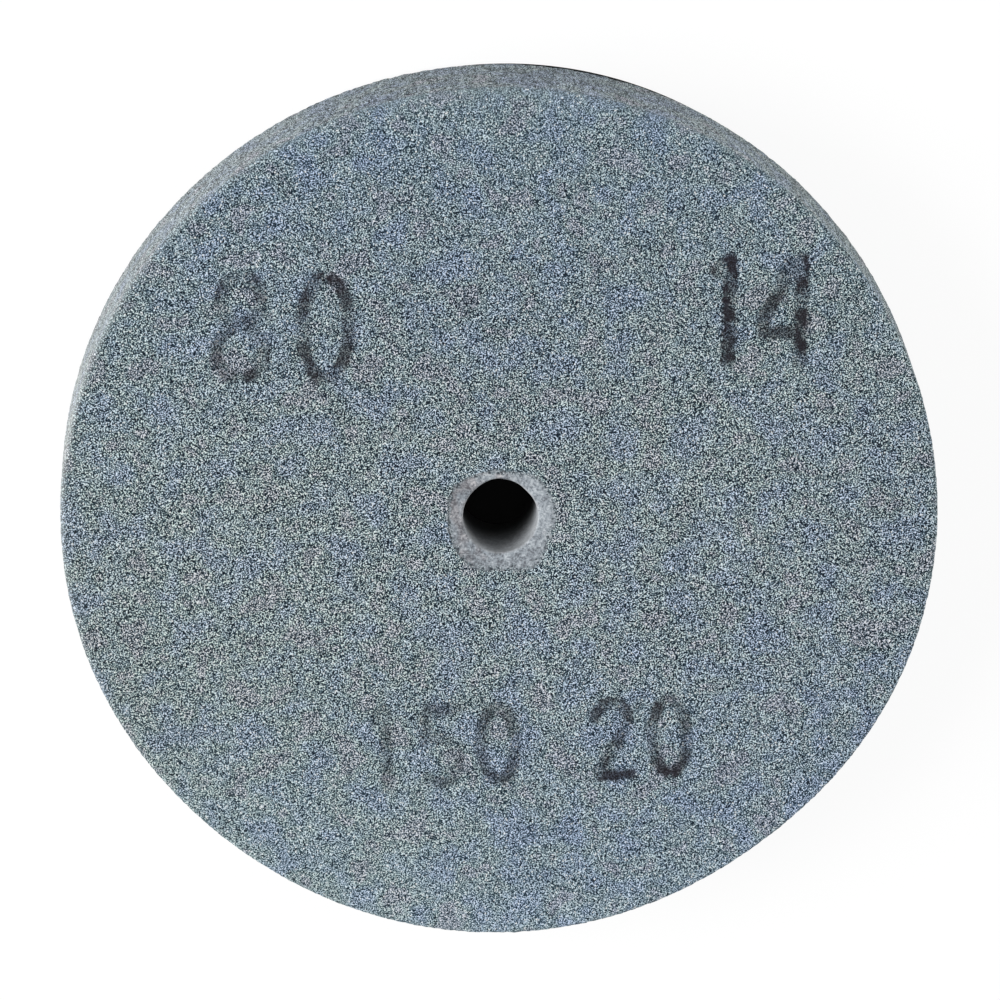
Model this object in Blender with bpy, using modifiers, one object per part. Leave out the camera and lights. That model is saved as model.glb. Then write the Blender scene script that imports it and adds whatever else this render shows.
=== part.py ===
# Bonded abrasive wheel for a bench grinder, lying flat on its back face.
# The origin is on the wheel's axis, in the plane of the back face. +Z is the axis.
# Two pieces: the fired abrasive body, and the pale lining cast into its hole to make the bore.
import math

import bmesh
import bpy

INCH = 0.0254

# Driving sizes, in metres
WHEEL_DIAMETER = 6.0 * INCH
WHEEL_WIDTH = 0.75 * INCH
BORE_DIAMETER = 0.5 * INCH
RIM_EDGE_RADIUS = 0.0007    # rounding where the rim meets each face
BORE_CHAMFER = 0.0003       # bevel at each mouth of the bore
LINING_WALL = 0.0028        # mean thickness of the cast lining
LINING_WANDER = 0.0010      # how far the lining's ragged edge strays from that mean
LINING_SET_BACK = 0.0002    # each end of the lining stops this far below its face
LINING_GAP = 0.0003         # between the lining and the hole it was cast in

# The ragged edge is a sum of waves: waves per turn, share of the wander, place of a crest in degrees
LINING_WAVES = (
    (1, 0.69, 282),
    (2, 0.18, 342),
    (3, 0.24, 94),
    (4, 0.34, 168),
    (5, 0.20, 72),
    (6, 0.16, 11),
    (7, 0.18, 329),
)

# The rim has worn out of round in three places: direction in degrees, half width in degrees, depth
RIM_WEAR = (
    (31, 33, 0.00045),
    (229, 24, 0.00060),
    (307, 20, 0.00080),
)

# How finely the round forms are divided
RIM_STEPS = 192
BORE_STEPS = 72
LINING_STEPS = 126
EDGE_STEPS = 4

CUTTER_OVERRUN = 0.004      # a cutter reaches this far past the face it cuts

WHEEL_RADIUS = WHEEL_DIAMETER / 2
BORE_RADIUS = BORE_DIAMETER / 2


def clear_scene():
    for thing in list(bpy.data.objects):
        bpy.data.objects.remove(thing, do_unlink=True)


def new_collection(name):
    collection = bpy.data.collections.new(name)
    bpy.context.scene.collection.children.link(collection)
    return collection


def new_material(name, colour, roughness):
    material = bpy.data.materials.new(name)
    material.use_nodes = True
    shader = material.node_tree.nodes["Principled BSDF"]
    shader.inputs["Base Color"].default_value = (*colour, 1.0)
    shader.inputs["Roughness"].default_value = roughness
    shader.inputs["Metallic"].default_value = 0.0
    material.diffuse_color = (*colour, 1.0)
    return material


def real_mesh(thing, collection):
    # Swap a curve, or an object with modifiers, for an object that holds its finished mesh
    evaluated = thing.evaluated_get(bpy.context.evaluated_depsgraph_get())
    mesh = bpy.data.meshes.new_from_object(evaluated)
    welded = bmesh.new()
    welded.from_mesh(mesh)
    bmesh.ops.remove_doubles(welded, verts=welded.verts, dist=0.000001)
    welded.to_mesh(mesh)
    welded.free()
    name = thing.name
    place = thing.matrix_world.copy()
    bpy.data.objects.remove(thing, do_unlink=True)
    finished = bpy.data.objects.new(name, mesh)
    finished.matrix_world = place
    collection.objects.link(finished)
    return finished


def turned(name, profile, steps, collection):
    # Turn a profile about Z. It starts and ends on the axis and runs down its outer side.
    mesh = bpy.data.meshes.new(name)
    edges = [(i, i + 1) for i in range(len(profile) - 1)]
    mesh.from_pydata([(radius, 0.0, height) for radius, height in profile], edges, [])
    blank = bpy.data.objects.new(name, mesh)
    collection.objects.link(blank)
    screw = blank.modifiers.new("Turn", "SCREW")
    screw.angle = math.tau
    screw.steps = steps
    screw.render_steps = steps
    screw.use_merge_vertices = True
    screw.merge_threshold = 0.00001
    bpy.context.view_layer.update()
    return real_mesh(blank, collection)


def upright_prism(name, outline, bottom, top, collection):
    # A closed outline in the XY plane, raised from bottom to top
    curve = bpy.data.curves.new(name, "CURVE")
    curve.dimensions = "2D"
    curve.fill_mode = "BOTH"
    curve.extrude = (top - bottom) / 2
    spline = curve.splines.new("POLY")
    spline.points.add(len(outline) - 1)
    for point, (x, y) in zip(spline.points, outline):
        point.co = (x, y, 0.0, 1.0)
    spline.use_cyclic_u = True
    flat = bpy.data.objects.new(name, curve)
    flat.location.z = (top + bottom) / 2
    collection.objects.link(flat)
    bpy.context.view_layer.update()
    return real_mesh(flat, collection)


def cut(piece, cutter):
    cutter.hide_render = True
    cutter.display_type = "WIRE"
    boolean = piece.modifiers.new("Cut " + cutter.name, "BOOLEAN")
    boolean.operation = "DIFFERENCE"
    boolean.solver = "EXACT"
    boolean.object = cutter


def shade_round(piece):
    piece.data.shade_smooth()
    piece.data.set_sharp_from_angle(angle=math.radians(35))


def degrees_between(first, second):
    return abs((first - second + 180) % 360 - 180)


def rim_loss(direction):
    # How much of the rim has worn away in this direction, in degrees
    loss = 0.0
    for middle, half_width, depth in RIM_WEAR:
        loss += depth * math.exp(-((degrees_between(direction, middle) / half_width) ** 2))
    return loss


def lining_outline(grow=0.0):
    # The ragged outer edge of the lining, or of its hole where the outline is grown by the gap
    points = []
    for step in range(LINING_STEPS):
        angle = math.tau * step / LINING_STEPS
        radius = BORE_RADIUS + LINING_WALL + grow
        for waves, share, crest in LINING_WAVES:
            radius += LINING_WANDER * share * math.cos(waves * angle - math.radians(crest))
        points.append((radius * math.cos(angle), radius * math.sin(angle)))
    return points


def wheel_profile():
    # From the middle of the front face, round the rim's two edges, to the middle of the back face
    inner = WHEEL_RADIUS - RIM_EDGE_RADIUS
    profile = [(0.0, WHEEL_WIDTH)]
    for step in range(EDGE_STEPS + 1):
        turn = math.radians(90) * (1 - step / EDGE_STEPS)
        height = WHEEL_WIDTH - RIM_EDGE_RADIUS + RIM_EDGE_RADIUS * math.sin(turn)
        profile.append((inner + RIM_EDGE_RADIUS * math.cos(turn), height))
    for step in range(EDGE_STEPS + 1):
        turn = math.radians(90) * step / EDGE_STEPS
        height = RIM_EDGE_RADIUS - RIM_EDGE_RADIUS * math.sin(turn)
        profile.append((inner + RIM_EDGE_RADIUS * math.cos(turn), height))
    profile.append((0.0, 0.0))
    return profile


def bore_profile():
    # The bore's cutter, with a cone at each end that bevels the mouth
    bottom = LINING_SET_BACK
    top = WHEEL_WIDTH - LINING_SET_BACK
    flare = BORE_RADIUS + BORE_CHAMFER + CUTTER_OVERRUN
    return [
        (0.0, top + CUTTER_OVERRUN),
        (flare, top + CUTTER_OVERRUN),
        (BORE_RADIUS, top - BORE_CHAMFER),
        (BORE_RADIUS, bottom + BORE_CHAMFER),
        (flare, bottom - CUTTER_OVERRUN),
        (0.0, bottom - CUTTER_OVERRUN),
    ]


def wear_rim(body):
    # Only the rim and its rounded edges move in. The faces' middle points stay on the axis.
    for vertex in body.data.vertices:
        radius = math.hypot(vertex.co.x, vertex.co.y)
        if radius < WHEEL_RADIUS / 2:
            continue
        direction = math.degrees(math.atan2(vertex.co.y, vertex.co.x))
        worn = (radius - rim_loss(direction)) / radius
        vertex.co.x *= worn
        vertex.co.y *= worn


def make_abrasive_body(pieces, cutters):
    body = turned("abrasive_body", wheel_profile(), RIM_STEPS, pieces)
    wear_rim(body)
    shade_round(body)
    body.data.materials.append(new_material("vitrified abrasive", (0.185, 0.235, 0.270), 0.88))
    hole = upright_prism(
        "lining_hole",
        lining_outline(LINING_GAP),
        -CUTTER_OVERRUN,
        WHEEL_WIDTH + CUTTER_OVERRUN,
        cutters,
    )
    cut(body, hole)
    return body


def make_bore_lining(pieces, cutters):
    lining = upright_prism(
        "bore_lining",
        lining_outline(),
        LINING_SET_BACK,
        WHEEL_WIDTH - LINING_SET_BACK,
        pieces,
    )
    shade_round(lining)
    lining.data.materials.append(new_material("cast lining", (0.400, 0.425, 0.455), 0.70))
    bore = turned("bore", bore_profile(), BORE_STEPS, cutters)
    shade_round(bore)
    cut(lining, bore)
    return lining


clear_scene()
wheel_pieces = new_collection("grinding_wheel")
wheel_cutters = new_collection("cutters")
make_abrasive_body(wheel_pieces, wheel_cutters)
make_bore_lining(wheel_pieces, wheel_cutters)
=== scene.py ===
import math

import bpy
import numpy as np
from mathutils import Matrix, Vector


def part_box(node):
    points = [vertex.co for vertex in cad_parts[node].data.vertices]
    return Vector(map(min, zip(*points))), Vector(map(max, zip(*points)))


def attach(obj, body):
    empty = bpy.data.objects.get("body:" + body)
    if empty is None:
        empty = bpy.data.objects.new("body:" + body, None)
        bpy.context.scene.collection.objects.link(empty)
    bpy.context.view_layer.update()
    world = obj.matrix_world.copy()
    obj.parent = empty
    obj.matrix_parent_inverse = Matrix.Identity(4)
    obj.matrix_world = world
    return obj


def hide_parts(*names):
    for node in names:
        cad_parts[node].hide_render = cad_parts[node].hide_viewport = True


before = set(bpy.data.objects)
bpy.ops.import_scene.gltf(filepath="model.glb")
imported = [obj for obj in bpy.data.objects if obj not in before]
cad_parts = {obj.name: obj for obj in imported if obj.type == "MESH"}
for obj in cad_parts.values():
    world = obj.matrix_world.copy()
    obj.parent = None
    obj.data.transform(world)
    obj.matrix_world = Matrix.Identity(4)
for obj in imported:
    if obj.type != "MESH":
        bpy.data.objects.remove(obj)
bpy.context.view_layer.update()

scene = bpy.context.scene
mm = 0.001

bodyLow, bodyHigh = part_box("abrasive_body")
faceHeight = bodyHigh.z              # the marked front face; the back face is at 0
wheelRadius = (bodyHigh.x - bodyLow.x) / 2
print("frame loaded, wheel", round(wheelRadius * 2 / mm, 1), "x", round(faceHeight / mm, 2), "mm")


# small helpers

def selectOnly(piece):
    for other in bpy.context.selected_objects:
        other.select_set(False)
    piece.select_set(True)
    bpy.context.view_layer.objects.active = piece


def linear(hexColour):
    # sRGB hex, as a colour picker shows it, to the linear values that shaders take
    channels = [int(hexColour[i:i + 2], 16) / 255 for i in (1, 3, 5)]
    values = [c / 12.92 if c <= 0.04045 else ((c + 0.055) / 1.055) ** 2.4 for c in channels]
    return (*values, 1.0)


def addNode(nodeTree, kind, inputs=None, **settings):
    # one node with its settings; each input is set to a value, or linked to a node or to one of its sockets.
    # Stops fill a colour ramp with hex colours or plain amounts. A span fills a Map Range from input 1 on:
    # the two values that are read, and the two that they become.
    node = nodeTree.nodes.new("ShaderNode" + kind)
    for name, value in settings.items():
        if name == "stops":
            while len(node.color_ramp.elements) < len(value):
                node.color_ramp.elements.new(0.5)
            for element, (place, colour) in zip(node.color_ramp.elements, value):
                element.position = place
                element.color = linear(colour) if isinstance(colour, str) else (colour, colour, colour, 1.0)
        elif name == "span":
            for socket, number in enumerate(value, 1):
                node.inputs[socket].default_value = number
        else:
            setattr(node, name, value)
    for name, value in (inputs or {}).items():
        if isinstance(value, bpy.types.Node):
            mixesColour = value.bl_idname == "ShaderNodeMix" and value.data_type == "RGBA"
            value = value.outputs[2 if mixesColour else 0]
        if isinstance(value, bpy.types.NodeSocket):
            nodeTree.links.new(value, node.inputs[name])
        else:
            node.inputs[name].default_value = value
    return node


smooth = {"interpolation_type": "SMOOTHSTEP"}


def newMaterial(name):
    material = bpy.data.materials.new(name)
    material.use_nodes = True
    return material, material.node_tree, material.node_tree.nodes["Principled BSDF"]


def placeInMm(tree):
    spot = addNode(tree, "TexCoord").outputs["Object"]
    return addNode(tree, "Mapping", {"Vector": spot, "Scale": (1000, 1000, 1000)})


def copyOfNode(nodeName, pieceName):
    # a new piece that starts as the CAD node's own mesh, with its loose triangles merged
    piece = bpy.data.objects.new(pieceName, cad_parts[nodeName].data.copy())
    piece.data.name = pieceName
    piece.data.materials.clear()
    scene.collection.objects.link(piece)
    selectOnly(piece)
    bpy.ops.object.mode_set(mode="EDIT")
    bpy.ops.mesh.select_all(action="SELECT")
    bpy.ops.mesh.remove_doubles(threshold=0.002 * mm)
    bpy.ops.mesh.select_all(action="DESELECT")
    bpy.ops.object.mode_set(mode="OBJECT")
    return piece


def useModifier(piece, kind, **settings):
    # add a modifier and apply it at once
    modifier = piece.modifiers.new(kind.title(), kind)
    for name, value in settings.items():
        setattr(modifier, name, value)
    selectOnly(piece)
    bpy.ops.object.modifier_apply(modifier=modifier.name)


def roughen(piece, kind, size, depth, group="", **settings):
    # relief from one of Blender's own textures, along the normals
    texture = bpy.data.textures.new(kind.lower(), kind)
    texture.noise_scale = size
    for name, value in settings.items():
        setattr(texture, name, value)
    useModifier(piece, "DISPLACE", texture=texture, texture_coords="LOCAL", strength=depth, mid_level=0.5,
                vertex_group=group)


def placesOf(piece):
    # every vertex as x, y, z
    places = np.zeros(len(piece.data.vertices) * 3)
    piece.data.vertices.foreach_get("co", places)
    return places.reshape(-1, 3)


def aroundAxis(piece):
    # every vertex as its distance from the axis and its angle
    places = placesOf(piece)
    return np.hypot(places[:, 0], places[:, 1]), np.arctan2(places[:, 1], places[:, 0])


def addToGroup(piece, name, chosen):
    group = piece.vertex_groups.new(name=name)
    group.add([int(i) for i in np.flatnonzero(chosen)], 1.0, "REPLACE")


def setAttribute(piece, name, values):
    attribute = piece.data.attributes.new(name, "FLOAT", "POINT")
    attribute.data.foreach_set("value", np.asarray(values, dtype=np.float32))


# camera, at the photograph's angle: nearly square to the marked face, with the rim's +Y side in view

cameraSettings = {
    "aim": (-0.08 * mm, 3.06 * mm, faceHeight),
    "distance": 1385.6 * mm,
    "elevation": 74.23,      # degrees above the bench
    "swing": 7.27,           # degrees from +Y towards -X
    "lens": 288.0,           # a long lens
    "sensor": 36.0,          # mm
    "farthest": 20.0,        # metres that it sees
}


def makeCamera():
    values = cameraSettings
    aim = Vector(values["aim"])
    rise = math.radians(values["elevation"])
    swing = math.radians(values["swing"])
    back = Vector((-math.sin(swing) * math.cos(rise), math.cos(swing) * math.cos(rise), math.sin(rise)))
    right = Vector((0, 1, 0)).cross(back).normalized()
    up = back.cross(right)
    data = bpy.data.cameras.new("camera")
    data.lens = values["lens"]
    data.sensor_width = values["sensor"]
    data.clip_end = values["farthest"]
    camera = bpy.data.objects.new("camera", data)
    turn = Matrix((right, up, back)).transposed().to_4x4()
    camera.matrix_world = Matrix.Translation(aim + back * values["distance"]) @ turn
    scene.collection.objects.link(camera)
    scene.camera = camera


makeCamera()
print("camera placed")


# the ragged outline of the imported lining, as distance from the axis over angle

wallSplit = 0.9 * mm         # the bore wall and its bevel lie within this of the bore, the outer wall beyond


def liningOutline():
    radius, angle = aroundAxis(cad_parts["bore_lining"])
    outer = radius > radius.min() + wallSplit
    order = np.argsort(angle[outer])
    return angle[outer][order], radius[outer][order]


outlineAngle, outlineRadius = liningOutline()


def reachFromLining(piece):
    # how far each vertex is outside the lining's outline, in mm
    radius, angle = aroundAxis(piece)
    return (radius - np.interp(angle, outlineAngle, outlineRadius, period=math.tau)) / mm


def raggedReach(tree, place):
    # that distance for a material, with the ragged edge where lining and grit run into each other
    reach = addNode(tree, "Attribute", attribute_name="liningReach").outputs["Fac"]
    ragged = addNode(tree, "TexNoise", {"Vector": place, "Scale": 1 / 0.75, "Detail": 3.0, "Roughness": 0.7})
    return addNode(tree, "Math", {0: ragged, 1: 4.0, 2: reach}, operation="MULTIPLY_ADD")


# stencilled numbers: plain digits in the three places that carry ink

stencilSettings = {
    "groups": (      # sizes in mm, turns in degrees
        {"digits": "80", "middle": (-37.4, 34.2), "height": 20.5, "step": 14.6, "stroke": 2.1, "turn": -1,
         "fade": 0.35, "ink": (0.85, 1.0)},
        {"digits": "14", "middle": (44.2, 36.6), "height": 19.6, "step": 10.6, "stroke": 2.3, "turn": -1,
         "fade": 0.35, "ink": (1.0, 1.0)},
        {"digits": "150 20", "middle": (4.6, -41.0), "height": 15.2, "step": 10.0, "stroke": 1.9, "turn": 2,
         "fade": 0.45, "ink": (0.5, 0.62, 0.8, 0.0, 0.95, 1.0)},
    ),
    "fadeReach": 0.42,       # the ink thins from here to a digit's middle, as a share of its height
    "outside": -50.0,        # depth that stands for far from any stroke
    "soaks": 1.0 * mm,       # how deep the ink goes
}


def arc(middleX, middleY, wide, high, start, end, steps=9):
    turns = np.radians(np.linspace(start, end, steps))
    return [(middleX + wide * math.cos(t), middleY + high * math.sin(t)) for t in turns]


# strokes of each digit in a cell one unit high, its middle at 0, 0, with a stencil's bridges left open
digitStrokes = {
    "0": (arc(0, 0, 0.2, 0.44, 104, 256), arc(0, 0, 0.2, 0.44, 76, -76)),
    "1": ([(0.03, 0.46), (0.03, -0.46)], [(0.03, 0.46), (-0.09, 0.34)]),
    "2": (arc(0, 0.24, 0.19, 0.2, 170, 100, 5), arc(0, 0.24, 0.19, 0.2, 78, -25, 6),
          [(0.15, 0.12), (-0.17, -0.38)], [(-0.15, -0.44), (0.21, -0.44)]),
    "4": ([(0.12, 0.46), (0.12, -0.46)], [(0.03, 0.42), (-0.22, -0.12)], [(-0.2, -0.2), (0.02, -0.2)]),
    "5": ([(-0.13, 0.44), (0.19, 0.44)], [(-0.17, 0.36), (-0.17, 0.08)],
          arc(-0.03, -0.17, 0.22, 0.27, 100, 0, 6), arc(-0.03, -0.17, 0.22, 0.27, -18, -130, 6)),
    "8": (arc(0, 0.24, 0.17, 0.2, 112, 248), arc(0, 0.24, 0.17, 0.2, 68, -68),
          arc(0, -0.22, 0.2, 0.22, 112, 248), arc(0, -0.22, 0.2, 0.22, 68, -68)),
    " ": (),
}


def strokeRuns():
    # every straight run of every stroke: its two ends in mm, with the ink at each, and its half width
    runs = []
    for group in stencilSettings["groups"]:
        turn, high = math.radians(group["turn"]), group["height"]
        for place, (digit, ink) in enumerate(zip(group["digits"], group["ink"])):
            offset = (place - (len(group["digits"]) - 1) / 2) * group["step"]
            for stroke in digitStrokes[digit]:
                points = []
                for x, y in stroke:
                    fromMiddle = min(1.0, abs(y) / stencilSettings["fadeReach"])
                    amount = ink * (1 - group["fade"] * (1 - fromMiddle))
                    x, y = x * high + offset, y * high
                    points.append((group["middle"][0] + x * math.cos(turn) - y * math.sin(turn),
                                   group["middle"][1] + x * math.sin(turn) + y * math.cos(turn), amount))
                runs += [(start, end, group["stroke"] / 2) for start, end in zip(points, points[1:])]
    return runs


def layStencil(piece):
    # each vertex learns how deep it lies inside a stroke, in mm, and how much ink is there
    places = placesOf(piece)
    spots = places[:, :2] / mm
    inside = np.full(len(spots), stencilSettings["outside"])
    amount = np.zeros(len(spots))
    for start, end, halfWidth in strokeRuns():
        along = np.subtract(end[:2], start[:2])
        share = np.clip((spots - start[:2]) @ along / (along @ along), 0, 1)
        depth = halfWidth - np.hypot(*(spots - start[:2] - share[:, None] * along).T)
        deeper = depth > inside
        inside[deeper] = depth[deeper]
        amount[deeper] = (start[2] + share * (end[2] - start[2]))[deeper]
    inside[places[:, 2] < faceHeight - stencilSettings["soaks"]] = stencilSettings["outside"]
    setAttribute(piece, "strokeDepth", inside)
    setAttribute(piece, "inkAmount", amount)


# abrasive body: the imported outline, with its grit in relief and its corners worn round

grainSettings = {
    "voxel": 0.34 * mm,          # before thinning
    "quickCoarser": 2.0,
    "triangles": 186000,         # after thinning
    "swell": (9.0 * mm, 0.10 * mm),      # size and depth of each layer of relief
    "clump": (1.5 * mm, 0.12 * mm),
    "grit": (0.60 * mm, 0.22 * mm),
    "inkReach": 0.9,             # mm round the strokes where the mesh stays fine
    "liningReach": (-5, 50),     # least and most distance from the lining that the material reads, mm

    # the map for baking, in its unit square
    "edgeDepth": 0.9 * mm,       # a face takes in the worn edges beside it, to this depth
    "faceHalf": 0.28,            # half the width that a face and its margin fill
    "faceMargin": 1.4,           # mm
    "faceMiddles": (0.29, 0.71),
    "stack": 3,                  # strips of rim in each of two corners
    "stackMiddles": (0.21, 0.79),
    "stackFeet": (0.59, 0.01),
    "stripLength": 0.4,
    "stripApart": 0.1,
    "holeLength": 0.38,          # the hole's wall is one strip, over the first stack

    # the grain, in mm
    "facet": 0.245,              # half a grain
    "poreShift": (7.3, 31.9, 4.1),       # sets the pores' pattern apart from the facets'
    "edgePatch": 0.8,            # size and depth of the wander where face turns to rim
    "edgeWander": 0.9,
    "frontEdge": (-0.9, 0.1),    # heights over the front face where its grain begins and is full
    "backEdge": (0.5, 1.5, 1.0, 0.0),
    "clusters": (1.2, 1.2, 0.6),         # the rim's clusters, per mm, drawn out along the axis

    # contrast of the grain
    "handled": ((0.5, 1.0), (0.96, 0.96), (0.985, 0.9), (0.999, 0.7)),      # over share of the radius
    "topFade": (66.0, 76.0, 1.0, 0.78),  # mm along Y
    "lowerLeft": (-0.9, -0.45, 0),       # the direction in which the left spans are read
    "leftFade": (20.0, 70.0, 1.0, 0.9),
    "faceContrast": (15.0, 65.0, 1.95, 1.33),      # mm along Y, either way
    "rimContrast": 3.15,
    "rimClusters": 2.9,

    # mean tone: a bend, a slope and a level over mm along Y, and changes to them
    "meanTone": (1.5e-5, -3.1e-4, 0.328),
    "fadePaler": (0.5, 1.0, 0.045, 0.0),           # paler as contrast falls
    "leftPaler": (20.0, 70.0, 0.0, 0.016),
    "paintedRimShade": (67.0, 74.0, 0.0, -0.12),           # painted shade: the rim is painted darker at its +Y end
    "greys": ((0.0, "#000c1a"), (0.23, "#284352"), (0.5, "#8a9aa6"), (0.75, "#c6d6e3"), (0.96, "#f0f7ff")),

    # hue: patches of a few mm, and drifts of a few cm, blue at both ends of Y and warm on the left
    "patchSize": 6.0,
    "patchHues": ((0.36, "#fcf4f4"), (0.44, "#f5faf1"), (0.55, "#f2f8fa"), (0.645, "#eef3ff")),
    "driftSize": 34.0,
    "driftShare": 0.4,
    "upwards": (-0.3, 0.95, 0),
    "endsBluer": (20.0, 70.0, 0.08, 0.33),
    "leftWarmer": (20.0, 70.0, 0.0, -0.2),
    "driftHues": ((0.0, "#fffcf4"), (0.22, "#fefefa"), (0.55, "#f9fafe")),

    # dust, and painted light on the rim's left
    "dustAndPaleLight": "#808887",
    "faceDust": (0.35, 0.9, 0.4, 0.0),   # share of it as contrast falls
    "rimDust": (0.36, 0.12),             # share of it at the rim's back edge and at its front edge
    # painted light: pale paint on the rim's left and its front corner there
    "paintedLeftLight": "#d8d6d4",
    "paintedLeftLightSide": (-0.978, 0.208, 0),
    "paintedLeftLightShares": ((0.6, 0.0), (0.8, 0.07), (0.9, 0.08), (0.985, 0.155), (1.0, 0.26)),
    "paintedLeftLightThick": (0.3, 2.2, 2.0, 1.0),         # painted stronger in the lowest 2 mm
    "frontCorner": (0.988, 0.999),       # share of the radius

    "glint": "#f2f6f7",
    "glints": (0.978, 0.982, 0.0, 0.7),  # about one facet in fifty is painted near white, as a painted highlight
    "soaked": "#a0a6ab",
    "soakedReach": (2.0, 2.5, 0.9, 0.0),           # mm

    # ink
    "inkPatch": 0.9,             # size and depth in mm of its feathered edge
    "inkFeather": 1.6,
    "inkEdge": (0.2, 1.15),
    "rubbedPatch": 4.0,
    "rubbed": (0.36, 0.56, 0.45, 1.0),
    "inkStain": "#5c5e66",
    "ink": "#211b21",
    "inkCover": (0.55, 1.0, 0.15, 0.6),  # the more ink, the more of it hides the grit

    "roughness": (0.0, 1.0, 0.95, 0.7),  # facet by facet
    "bump": 0.12 * mm,
}


def makeWheel():
    values = grainSettings
    piece = copyOfNode("abrasive_body", "vitrified_wheel")
    voxel = values["voxel"] * 1.0
    useModifier(piece, "REMESH", mode="VOXEL", voxel_size=voxel, adaptivity=0.0)
    roughen(piece, "CLOUDS", *values["swell"])
    roughen(piece, "CLOUDS", *values["clump"], noise_depth=2)
    roughen(piece, "VORONOI", *values["grit"], noise_intensity=0.9)
    triangles = 2 * len(piece.data.polygons)
    if triangles > values["triangles"]:
        layStencil(piece)
        depths = np.zeros(len(piece.data.vertices))
        piece.data.attributes["strokeDepth"].data.foreach_get("value", depths)
        addToGroup(piece, "thinned", depths < -values["inkReach"])
        for name in ("strokeDepth", "inkAmount"):
            piece.data.attributes.remove(piece.data.attributes[name])
        useModifier(piece, "DECIMATE", decimate_type="COLLAPSE", ratio=values["triangles"] / triangles,
                    vertex_group="thinned", use_collapse_triangulate=True)
        piece.vertex_groups.clear()
    piece.data.shade_flat()
    layStencil(piece)
    setAttribute(piece, "liningReach", np.clip(reachFromLining(piece), *values["liningReach"]))
    print("  wheel of", len(piece.data.polygons), "triangles")
    return piece


def layOutMap(piece):
    # a map for baking: both faces as discs on one diagonal, and the rim and the hole's wall
    # as strips in the two corners beside it
    values = grainSettings
    places = placesOf(piece)
    count = len(piece.data.polygons)
    corners = np.zeros(len(piece.data.loops), dtype=int)
    piece.data.loops.foreach_get("vertex_index", corners)
    first, sides = np.zeros(count, dtype=int), np.zeros(count, dtype=int)
    piece.data.polygons.foreach_get("loop_start", first)
    piece.data.polygons.foreach_get("loop_total", sides)
    face = np.repeat(np.arange(count), sides)
    middles = np.add.reduceat(places[corners], first) / sides[:, None]
    outer = (np.hypot(middles[:, 0], middles[:, 1]) > wheelRadius / 2)[face]
    rise, turn = middles[face, 2], np.arctan2(middles[face, 1], middles[face, 0])
    x, y, z = places[corners].T / mm
    uv = np.zeros((len(corners), 2))

    away = np.hypot(x, y)
    size = values["faceHalf"] / (wheelRadius / mm + values["faceMargin"])
    front, back = rise > faceHeight - values["edgeDepth"], rise < values["edgeDepth"]
    depths = (faceHeight / mm - z, z)
    for onFace, depth, middle, side in zip((front, back), depths, values["faceMiddles"], (1, -1)):
        spread = size * (away + np.where(outer, depth, -depth)) / away
        uv[onFace] = np.stack((middle + side * x * spread, middle + y * spread), 1)[onFace]

    wall = ~front & ~back
    strips = 2 * values["stack"]
    strip = np.floor((turn / math.tau % 1) * strips)
    along = (np.arctan2(y, x) - (strip + 0.5) / strips * math.tau + math.pi) % math.tau - math.pi
    size = values["stripLength"] / (wheelRadius / mm * math.tau / strips)
    corner = strip // values["stack"]
    u = np.where(corner == 0, *values["stackMiddles"]) + along * wheelRadius / mm * size
    v = np.where(corner == 0, *values["stackFeet"]) + (strip % values["stack"]) * values["stripApart"]
    v = v + z * size
    uv[wall & outer] = np.stack((u, v), 1)[wall & outer]

    around = np.arctan2(y, x) / math.tau
    around = around + np.round(turn / math.tau - around)
    u = values["stackMiddles"][0] + around * values["holeLength"]
    v = values["stackFeet"][0] + values["stack"] * values["stripApart"] + z * size
    uv[wall & ~outer] = np.stack((u, v), 1)[wall & ~outer]
    layer = piece.data.uv_layers.new(name="OFBake")
    layer.uv.foreach_set("vector", uv.astype(np.float32).ravel())


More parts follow.
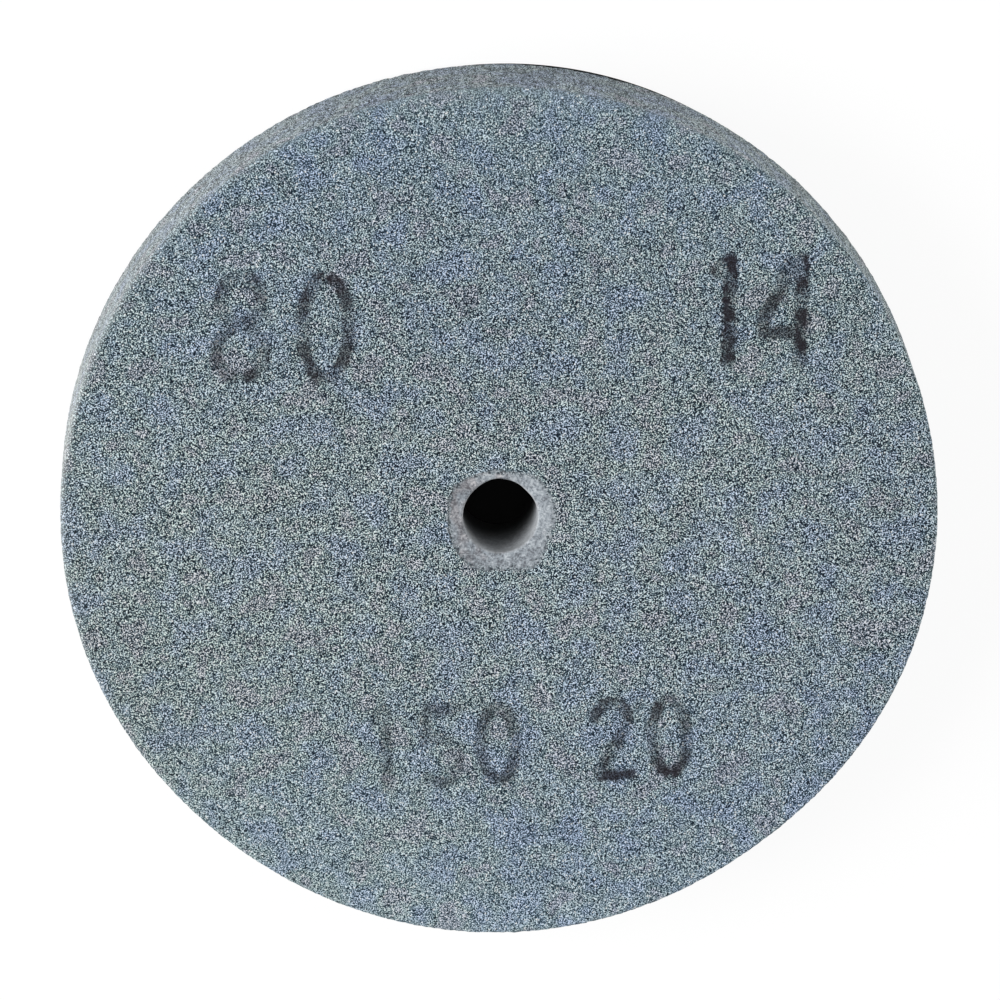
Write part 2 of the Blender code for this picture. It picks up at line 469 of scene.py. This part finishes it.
def vitrifiedAbrasive():
    # vitrified aluminium oxide, pressed and fired: a dull crust of pale and dark grit of about 0.5 mm, with
    # pores between that are painted black as painted shade. Its clusters drift between blue, green and pink
    # grey, and the dressed rim looks smoother.
    values = grainSettings
    material, tree, shader = newMaterial("vitrified aluminium oxide")
    place = placeInMm(tree)
    rise = addNode(tree, "SeparateXYZ", {"Vector": place}).outputs["Z"]
    up = addNode(tree, "SeparateXYZ", {"Vector": place}).outputs["Y"]
    left = addNode(tree, "VectorMath", {0: place, 1: values["lowerLeft"]}, operation="DOT_PRODUCT")
    left = left.outputs["Value"]

    # facets of grit are pale spots and pores are dark ones, each about half a grain wide; the pores' dark is
    # painted shade
    apart = addNode(tree, "VectorMath", {0: place, 1: values["poreShift"]}, operation="ADD")
    grit = addNode(tree, "TexVoronoi", {"Vector": place, "Scale": 1 / values["facet"]})
    pores = addNode(tree, "TexVoronoi", {"Vector": apart, "Scale": 1 / values["facet"]})
    tint = addNode(tree, "SeparateColor", {"Color": grit.outputs["Color"]})
    tone = addNode(tree, "Math", {0: pores.outputs["Distance"], 1: grit.outputs["Distance"]},
                   operation="SUBTRACT")

    # the rim is dressed and its corners are handled: dust closes the pores there, and clusters show instead
    edge = addNode(tree, "TexNoise", {"Vector": place, "Scale": 1 / values["edgePatch"], "Detail": 1.0})
    level = addNode(tree, "Math", {0: edge, 1: values["edgeWander"], 2: rise}, operation="MULTIPLY_ADD")
    heights = [faceHeight / mm + height for height in values["frontEdge"]]
    front = addNode(tree, "MapRange", {"Value": level}, span=heights, **smooth)
    back = addNode(tree, "MapRange", {"Value": level}, span=values["backEdge"], **smooth)
    onFace = addNode(tree, "Math", {0: front, 1: back}, operation="MAXIMUM")
    rim = addNode(tree, "Math", {0: 1.0, 1: onFace}, operation="SUBTRACT")
    flat = addNode(tree, "VectorMath", {0: place, 1: (1, 1, 0)}, operation="MULTIPLY")
    away = addNode(tree, "VectorMath", {0: flat}, operation="LENGTH").outputs["Value"]
    away = addNode(tree, "Math", {0: away, 1: wheelRadius / mm}, operation="DIVIDE")
    handled = addNode(tree, "ValToRGB", {"Fac": away}, stops=values["handled"])
    across = addNode(tree, "Math", {0: up}, operation="ABSOLUTE")
    for where, name in ((up, "topFade"), (left, "leftFade")):
        fade = addNode(tree, "MapRange", {"Value": where}, span=values[name])
        handled = addNode(tree, "Math", {0: handled, 1: fade}, operation="MULTIPLY")
    calm = addNode(tree, "MapRange", {"Value": across}, span=values["faceContrast"])
    calm = addNode(tree, "Math", {0: calm, 1: handled}, operation="MULTIPLY")
    contrast = addNode(tree, "MapRange", {"Value": onFace, 3: values["rimContrast"], 4: calm})
    drawn = addNode(tree, "VectorMath", {0: place, 1: values["clusters"]}, operation="MULTIPLY")
    clusters = addNode(tree, "TexNoise", {"Vector": drawn, "Scale": 1.0, "Detail": 2.0, "Roughness": 0.7})
    clusters = addNode(tree, "Math", {0: clusters, 1: 0.5}, operation="SUBTRACT")
    share = addNode(tree, "MapRange", {"Value": onFace, 3: values["rimClusters"], 4: 0.0})

    bend, slope, mean = values["meanTone"]
    middle = addNode(tree, "Math", {0: up, 1: bend, 2: slope}, operation="MULTIPLY_ADD")
    middle = addNode(tree, "Math", {0: up, 1: middle, 2: mean}, operation="MULTIPLY_ADD")
    for where, name in ((handled, "fadePaler"), (left, "leftPaler")):
        paler = addNode(tree, "MapRange", {"Value": where}, span=values[name])
        middle = addNode(tree, "Math", {0: middle, 1: paler}, operation="ADD")
    # painted shade on the rim's +Y end
    darkening = addNode(tree, "MapRange", {"Value": up}, span=values["paintedRimShade"])
    middle = addNode(tree, "Math", {0: darkening, 1: rim, 2: middle}, operation="MULTIPLY_ADD")
    tone = addNode(tree, "Math", {0: tone, 1: contrast, 2: middle}, operation="MULTIPLY_ADD")
    tone = addNode(tree, "Math", {0: clusters, 1: share, 2: tone}, operation="MULTIPLY_ADD")
    colour = addNode(tree, "ValToRGB", {"Fac": tone}, stops=values["greys"])

    # soft changes of hue, a few mm wide and again a few cm wide
    patches = addNode(tree, "TexNoise", {"Vector": place, "Scale": 1 / values["patchSize"], "Detail": 2.0,
                                         "Roughness": 0.6})
    drift = addNode(tree, "TexNoise", {"Vector": place, "Scale": 1 / values["driftSize"], "Detail": 1.0})
    ends = addNode(tree, "VectorMath", {0: place, 1: values["upwards"]}, operation="DOT_PRODUCT")
    ends = addNode(tree, "Math", {0: ends.outputs["Value"]}, operation="ABSOLUTE")
    bluer = addNode(tree, "MapRange", {"Value": ends}, span=values["endsBluer"])
    warmer = addNode(tree, "MapRange", {"Value": left}, span=values["leftWarmer"])
    drift = addNode(tree, "Math", {0: drift, 1: values["driftShare"], 2: bluer}, operation="MULTIPLY_ADD")
    drift = addNode(tree, "Math", {0: drift, 1: warmer}, operation="ADD")
    for where, name in ((patches, "patchHues"), (drift, "driftHues")):
        hues = addNode(tree, "ValToRGB", {"Fac": where}, stops=values[name])
        colour = addNode(tree, "Mix", {0: 1.0, 6: colour, 7: hues}, data_type="RGBA", blend_type="MULTIPLY")

    dusty = addNode(tree, "MapRange", {"Value": handled}, span=values["faceDust"])
    closed = addNode(tree, "MapRange", {"Value": rise}, span=(0.0, faceHeight / mm, *values["rimDust"]))
    dusty = addNode(tree, "MapRange", {"Value": onFace, 3: closed, 4: dusty})
    colour = addNode(tree, "Mix", {0: dusty, 6: colour, 7: linear(values["dustAndPaleLight"])}, data_type="RGBA")

    # painted light: the rim's left and its front corner there are painted pale, most of all at the back
    # corner
    toLeftLight = addNode(tree, "VectorMath", {0: flat}, operation="NORMALIZE")
    toLeftLight = addNode(tree, "VectorMath", {0: toLeftLight, 1: values["paintedLeftLightSide"]}, operation="DOT_PRODUCT")
    dustAndPaleLight = addNode(tree, "ValToRGB", {"Fac": toLeftLight.outputs["Value"]}, stops=values["paintedLeftLightShares"])
    lowBrighter = addNode(tree, "MapRange", {"Value": rise}, span=values["paintedLeftLightThick"])
    corner = addNode(tree, "MapRange", {"Value": away}, span=values["frontCorner"])
    corner = addNode(tree, "Math", {0: rim, 1: corner}, operation="MAXIMUM")
    for factor in (lowBrighter, corner):
        dustAndPaleLight = addNode(tree, "Math", {0: dustAndPaleLight, 1: factor}, operation="MULTIPLY")
    colour = addNode(tree, "Mix", {0: dustAndPaleLight, 6: colour, 7: linear(values["paintedLeftLight"])}, data_type="RGBA")

    # painted highlight: a few facets are painted near white, as glints
    facet = addNode(tree, "MapRange", {"Value": tint.outputs["Blue"]}, span=values["glints"])
    facet = addNode(tree, "Math", {0: facet, 1: onFace}, operation="MULTIPLY")
    colour = addNode(tree, "Mix", {0: facet, 6: colour, 7: linear(values["glint"])}, data_type="RGBA")

    # the lining's cast has run between the grains round the bore
    reach = raggedReach(tree, place)
    soaked = addNode(tree, "MapRange", {"Value": reach}, span=values["soakedReach"], **smooth)
    colour = addNode(tree, "Mix", {0: soaked, 6: colour, 7: linear(values["soaked"])}, data_type="RGBA")

    # stencil ink soaks into the grit and leaves it showing, and is rubbed thin in patches
    depth = addNode(tree, "Attribute", attribute_name="strokeDepth").outputs["Fac"]
    amount = addNode(tree, "Attribute", attribute_name="inkAmount").outputs["Fac"]
    feather = addNode(tree, "TexNoise", {"Vector": place, "Scale": 1 / values["inkPatch"], "Detail": 2.0,
                                         "Roughness": 0.6})
    depth = addNode(tree, "Math", {0: feather, 1: values["inkFeather"], 2: depth}, operation="MULTIPLY_ADD")
    ink = addNode(tree, "MapRange", {"Value": depth}, span=values["inkEdge"], **smooth)
    rubbed = addNode(tree, "TexNoise", {"Vector": place, "Scale": 1 / values["rubbedPatch"], "Detail": 2.0,
                                        "Roughness": 0.6})
    rubbed = addNode(tree, "MapRange", {"Value": rubbed}, span=values["rubbed"], **smooth)
    for factor in (amount, rubbed):
        ink = addNode(tree, "Math", {0: ink, 1: factor}, operation="MULTIPLY")
    stained = addNode(tree, "Mix", {0: 1.0, 6: colour, 7: linear(values["inkStain"])}, data_type="RGBA",
                      blend_type="MULTIPLY")
    cover = addNode(tree, "MapRange", {"Value": ink}, span=values["inkCover"])
    stained = addNode(tree, "Mix", {0: cover, 6: stained, 7: linear(values["ink"])}, data_type="RGBA")
    colour = addNode(tree, "Mix", {0: ink, 6: colour, 7: stained}, data_type="RGBA")

    dull = addNode(tree, "MapRange", {"Value": tint.outputs["Green"]}, span=values["roughness"])
    shader.inputs["Specular IOR Level"].default_value = 0.2
    bump = addNode(tree, "Bump", {"Height": tone, "Strength": 0.6, "Distance": values["bump"]})
    tree.links.new(colour.outputs[2], shader.inputs["Base Color"])
    tree.links.new(dull.outputs[0], shader.inputs["Roughness"])
    tree.links.new(bump.outputs[0], shader.inputs["Normal"])
    return material


wheel = makeWheel()
layOutMap(wheel)
wheel.data.materials.append(vitrifiedAbrasive())
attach(wheel, "root")
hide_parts("abrasive_body")
print("abrasive body made")


# lining: cast into the moulded hole, with the bore formed in it

liningSettings = {
    "voxel": 0.17 * mm,
    "grow": 1.06,                # into the grit, so that no gap shows
    "open": 1.024,               # the remeshing below draws the bore in again
    "mouth": ((95, 0.25, 4.5), (66, 0.12, 1.8), (44, -0.1, 2.2)),      # wear: degrees, mm outwards, reach
    "mouthGrip": 0.5 * mm,       # the vertices this near to a worn spot move with it in full
    "smoothWall": 0.6 * mm,      # the bore wall, smooth from its mandrel, is within this of the bore
    "pits": (1.3 * mm, 0.16 * mm),       # size and depth of relief
    "sand": (0.45 * mm, 0.12 * mm),

    # the material, in mm
    "cloudSize": 1.3,
    "sandSize": 0.38,
    "darkening": (0.0028, 0.002, 0),        # darker towards the lower left
    "colours": ((0.37, "#62656b"), (0.45, "#8d9298"), (0.53, "#b0b6bc"), (0.62, "#d6dadd")),
    "warmSize": 3.0,
    "warmer": (0.014, -0.012, 0),        # warmer on the upper left
    "hues": ((0.34, "#fff8f7"), (0.5, "#f8fcff")),
    # a painted highlight along the lip of the bore
    "lipHighlight": "#c3c5c7",
    "lipHighlightReach": (0.1, 0.55, 0.55, 0.0),  # mm from the bore
    "caught": (1.5, 2.2, 0.0, 1.0),      # mm from the outline
    "caughtSize": 0.30,
    "caughtGreys": ((0.15, "#d5dce0"), (0.45, "#87949c"), (0.72, "#2f383f")),
    "boreLitSide": (0.4, -0.15, 0),          # less painted shade on the lower right
    "paintedBoreShadeHeights": (-15.0, -0.4),       # over the front face: where the painted shade is full, and where it ends
    "paintedBoreShade": (0.03, 0.8),                # what it leaves of the colour at each
    "backEnd": (0.35, 0.5, 1.0, 0.0),    # the lining's back end has no painted shade
    "fineSize": 0.3,
    "bump": 0.08 * mm,
    "roughness": 0.75,
}


def makeLining():
    values = liningSettings
    piece = copyOfNode("bore_lining", "cast_bore_lining")
    radius = aroundAxis(piece)[0]
    boreRadius = radius.min()
    split = boreRadius + wallSplit
    for wall, grow in ((radius > split, values["grow"]), (radius < split, values["open"])):
        piece.data.vertices.foreach_set("select", wall)
        bpy.ops.object.mode_set(mode="EDIT")
        bpy.ops.transform.resize(value=(grow, grow, 1.0), center_override=(0, 0, 0))
        bpy.ops.object.mode_set(mode="OBJECT")
    useModifier(piece, "REMESH", mode="VOXEL", voxel_size=values["voxel"], adaptivity=0.0)
    for degrees, outwards, reach in values["mouth"]:
        turn = math.radians(degrees)
        places = placesOf(piece)
        spot = (boreRadius * math.cos(turn), boreRadius * math.sin(turn), places[:, 2].max())
        piece.data.vertices.foreach_set("select", np.linalg.norm(places - spot, axis=1) < values["mouthGrip"])
        bpy.ops.object.mode_set(mode="EDIT")
        bpy.ops.transform.translate(value=(outwards * mm * math.cos(turn), outwards * mm * math.sin(turn), 0),
                                    use_proportional_edit=True, proportional_edit_falloff="SMOOTH",
                                    proportional_size=reach * mm)
        bpy.ops.object.mode_set(mode="OBJECT")
    radius = aroundAxis(piece)[0]
    addToGroup(piece, "rough", radius > radius.min() + values["smoothWall"])
    roughen(piece, "CLOUDS", *values["pits"], group="rough", noise_depth=1)
    roughen(piece, "CLOUDS", *values["sand"], group="rough")
    piece.vertex_groups.clear()
    piece.data.shade_smooth()
    radius = aroundAxis(piece)[0]
    setAttribute(piece, "liningReach", reachFromLining(piece))
    setAttribute(piece, "boreReach", (radius - boreRadius) / mm)
    print("  lining of", 2 * len(piece.data.polygons), "triangles")
    return piece


def castLining():
    # mineral filler, cast: dull pale grey, cloudy and a little sandy, with grit caught in its ragged edge.
    # The bore wall is painted dark away from its mouth, as painted shade, less on the lower right.
    values = liningSettings
    material, tree, shader = newMaterial("cast mineral filler")
    place = placeInMm(tree)
    cloud = addNode(tree, "TexNoise", {"Vector": place, "Scale": 1 / values["cloudSize"], "Detail": 4.0,
                                       "Roughness": 0.7})
    sand = addNode(tree, "TexNoise", {"Vector": place, "Scale": 1 / values["sandSize"], "Detail": 2.0,
                                      "Roughness": 0.6})
    cloud = addNode(tree, "Math", {0: cloud, 1: 0.5}, operation="MULTIPLY")
    cloud = addNode(tree, "Math", {0: sand, 1: 0.5, 2: cloud}, operation="MULTIPLY_ADD")
    shade = addNode(tree, "VectorMath", {0: place, 1: values["darkening"]}, operation="DOT_PRODUCT")
    cloud = addNode(tree, "Math", {0: cloud, 1: shade.outputs["Value"]}, operation="ADD")
    grey = addNode(tree, "ValToRGB", {"Fac": cloud}, stops=values["colours"])
    lean = addNode(tree, "VectorMath", {0: place, 1: values["warmer"]}, operation="DOT_PRODUCT")
    warm = addNode(tree, "TexNoise", {"Vector": place, "Scale": 1 / values["warmSize"], "Detail": 1.0})
    warm = addNode(tree, "Math", {0: warm, 1: lean.outputs["Value"]}, operation="ADD")
    warm = addNode(tree, "ValToRGB", {"Fac": warm}, stops=values["hues"])
    colour = addNode(tree, "Mix", {0: 1.0, 6: grey, 7: warm}, data_type="RGBA", blend_type="MULTIPLY")

    # painted highlight: the lip of the bore is painted pale
    lipHighlight = addNode(tree, "Attribute", attribute_name="boreReach").outputs["Fac"]
    lipHighlight = addNode(tree, "MapRange", {"Value": lipHighlight}, span=values["lipHighlightReach"], **smooth)
    colour = addNode(tree, "Mix", {0: lipHighlight, 6: colour, 7: linear(values["lipHighlight"])}, data_type="RGBA")

    # grit caught in the outer edge
    reach = raggedReach(tree, place)
    caught = addNode(tree, "MapRange", {"Value": reach}, span=values["caught"], **smooth)
    grit = addNode(tree, "TexVoronoi", {"Vector": place, "Scale": 1 / values["caughtSize"]})
    grit = addNode(tree, "ValToRGB", {"Fac": grit.outputs["Distance"]}, stops=values["caughtGreys"])
    colour = addNode(tree, "Mix", {0: caught, 6: colour, 7: grit}, data_type="RGBA")

    # painted shade, darkest far down the bore
    rise = addNode(tree, "SeparateXYZ", {"Vector": place}).outputs["Z"]
    side = addNode(tree, "VectorMath", {0: place, 1: values["boreLitSide"]}, operation="DOT_PRODUCT")
    boreShadeLevel = addNode(tree, "Math", {0: rise, 1: side.outputs["Value"]}, operation="ADD")
    heights = [faceHeight / mm + height for height in values["paintedBoreShadeHeights"]]
    paintedBoreShade = addNode(tree, "MapRange", {"Value": boreShadeLevel}, span=(*heights, *values["paintedBoreShade"]), **smooth)
    backEnd = addNode(tree, "MapRange", {"Value": rise}, span=values["backEnd"])
    paintedBoreShade = addNode(tree, "Math", {0: paintedBoreShade, 1: backEnd}, operation="MAXIMUM")
    colour = addNode(tree, "Mix", {0: 1.0, 6: colour, 7: paintedBoreShade}, data_type="RGBA", blend_type="MULTIPLY")

    fine = addNode(tree, "TexNoise", {"Vector": place, "Scale": 1 / values["fineSize"], "Detail": 2.0})
    bump = addNode(tree, "Bump", {"Height": fine, "Strength": 0.4, "Distance": values["bump"]})
    tree.links.new(colour.outputs[2], shader.inputs["Base Color"])
    tree.links.new(bump.outputs[0], shader.inputs["Normal"])
    shader.inputs["Roughness"].default_value = values["roughness"]
    return material


lining = makeLining()
lining.data.materials.append(castLining())
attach(lining, "root")
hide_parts("bore_lining")
print("lining made")


# floor, a dark card under the wheel, and a plain soft light from the left; the card is painted shadow:
# it paints the bore dark, and just shows under the worn back corner at the upper right as a painted shadow
# line

studioSettings = {
    "lamps": (("key lamp", (-1.4, 0.05, 0.95), 1.1, 30.0), ("fill lamp", (1.35, 0.4, 0.38), 0.8, 9.2)),
    "worldStrength": 0.42,
    "floorSize": 8.0,            # metres
    "floorHeight": -0.3 * mm,
    "floorKept": 0.10,           # share of the floor's shading that the camera sees, for a faint shadow
    "floorLit": 0.9,             # how bright that shading is where nothing shades it, with white at 1
    "cardInset": 6.8 * mm,       # how much smaller than the wheel
    "cardShift": 6.92 * mm,
    "cardSide": 81,              # degrees, the direction it is shifted in
    "cardHeight": -0.15 * mm,
}


def makeStudio():
    values = studioSettings
    bpy.ops.mesh.primitive_plane_add(size=values["floorSize"], location=(0, 0, values["floorHeight"]))
    floor = bpy.context.object
    floor.name = "floor"
    material, tree, shader = newMaterial("white paper")
    seen = addNode(tree, "LightPath").outputs["Is Camera Ray"]
    colour = addNode(tree, "Mix", {0: seen, 6: linear("#eeeeee"), 7: (values["floorKept"],) * 3 + (1.0,)},
                     data_type="RGBA")
    white = 1.0 - values["floorKept"] * values["floorLit"]
    glow = addNode(tree, "Math", {0: seen, 1: white}, operation="MULTIPLY")
    tree.links.new(colour.outputs[2], shader.inputs["Base Color"])
    tree.links.new(glow.outputs[0], shader.inputs["Emission Strength"])
    shader.inputs["Emission Color"].default_value = (1, 1, 1, 1)
    shader.inputs["Roughness"].default_value = 1.0
    shader.inputs["Specular IOR Level"].default_value = 0.0
    floor.data.materials.append(material)

    # the dark card, a painted shadow under the wheel
    turn, shift = math.radians(values["cardSide"]), values["cardShift"]
    bpy.ops.mesh.primitive_circle_add(vertices=256, radius=wheelRadius - values["cardInset"],
                                      fill_type="NGON", location=(shift * math.cos(turn),
                                                                  shift * math.sin(turn),
                                                                  values["cardHeight"]))
    card = bpy.context.object
    card.name = "shadow_card"
    material, tree, shader = newMaterial("painted shadow black")
    shader.inputs["Base Color"].default_value = linear("#060606")
    shader.inputs["Roughness"].default_value = 1.0
    card.data.materials.append(material)

    for name, place, size, power in values["lamps"]:
        lamp = bpy.data.lights.new(name, "AREA")
        lamp.energy = power
        lamp.size = size
        holder = bpy.data.objects.new(name, lamp)
        holder.location = place
        holder.rotation_euler = (-Vector(place)).to_track_quat("-Z", "Y").to_euler()
        scene.collection.objects.link(holder)

    scene.world = bpy.data.worlds.new("studio")
    scene.world.use_nodes = True
    tree = scene.world.node_tree
    path = addNode(tree, "LightPath").outputs
    seen = addNode(tree, "Math", {0: path["Is Camera Ray"], 1: path["Is Glossy Ray"]}, operation="MAXIMUM")
    seen = addNode(tree, "Math", {0: seen, 1: path["Is Transmission Ray"]}, operation="MAXIMUM")
    strength = addNode(tree, "MapRange", {"Value": seen, 3: values["worldStrength"], 4: 1.0})
    tree.nodes["Background"].inputs["Color"].default_value = (1, 1, 1, 1)
    tree.links.new(strength.outputs[0], tree.nodes["Background"].inputs["Strength"])


makeStudio()
scene.view_settings.view_transform = "Standard"
